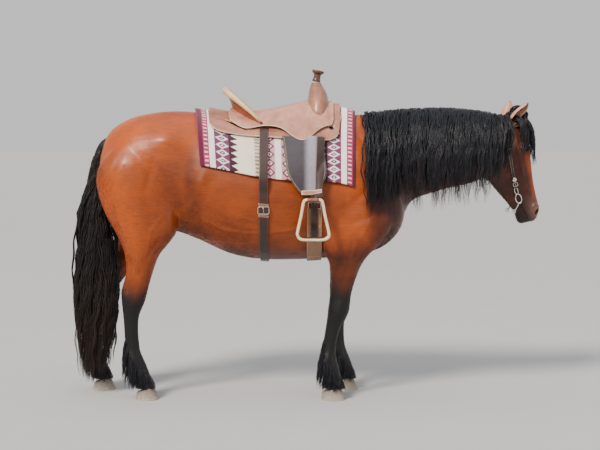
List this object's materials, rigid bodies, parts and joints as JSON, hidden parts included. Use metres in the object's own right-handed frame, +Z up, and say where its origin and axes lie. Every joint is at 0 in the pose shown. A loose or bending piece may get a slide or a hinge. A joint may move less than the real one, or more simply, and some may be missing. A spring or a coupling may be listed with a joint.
{
  "type": "saddled bay horse of friesian type",
  "caption": "Life-size standing saddled bay horse of Friesian type with black points, long wavy mane and tail and feathered fetlocks; a still model.",
  "frame": {"origin": "on the floor under the middle of the whole model's bounding box", "axes": "+X the way the horse faces, +Y its left side, +Z up"},
  "size_m": [2.6272, 0.816, 1.8237],
  "materials": {
    "coat": "short bay coat with a soft shine, black on the lower legs",
    "hair": "long wavy black hair",
    "horn": "dull dark horn",
    "eye": "wet dark eye",
    "blanket": "thick woven wool",
    "saddle leather": "light tan, worn and a little shiny",
    "dark leather": "dark oiled leather",
    "stirrup wood": "pale varnished wood",
    "cinch cord": "mohair cord",
    "steel": "worn steel"
  },
  "bodies": {
    "root": {"bit_left": "steel", "bit_right": "steel", "blanket": "blanket", "bridle": "dark leather", "cinch_front": "cinch cord", "cinch_rear": "dark leather", "ear_left": "coat", "ear_right": "coat", "eye_left": "eye", "eye_right": "eye", "fender_left": "dark leather", "fender_right": "dark leather", "fetlock_fore_left": "coat", "fetlock_fore_right": "coat", "fetlock_hind_left": "coat", "fetlock_hind_right": "coat", "head": "coat", "hoof_fore_left": "horn", "hoof_fore_right": "horn", "hoof_hind_left": "horn", "hoof_hind_right": "horn", "latigo_left": "dark leather", "latigo_right": "dark leather", "leg_fore_left": "coat", "leg_fore_right": "coat", "leg_hind_left": "coat", "leg_hind_right": "coat", "neck": "coat", "saddle_fork": "saddle leather", "saddle_horn": "saddle leather", "saddle_seat": "saddle leather", "saddle_skirts": "saddle leather", "stirrup_left": "stirrup wood", "stirrup_right": "stirrup wood", "tail": "hair", "torso": "coat"}
  },
  "joints": []
}
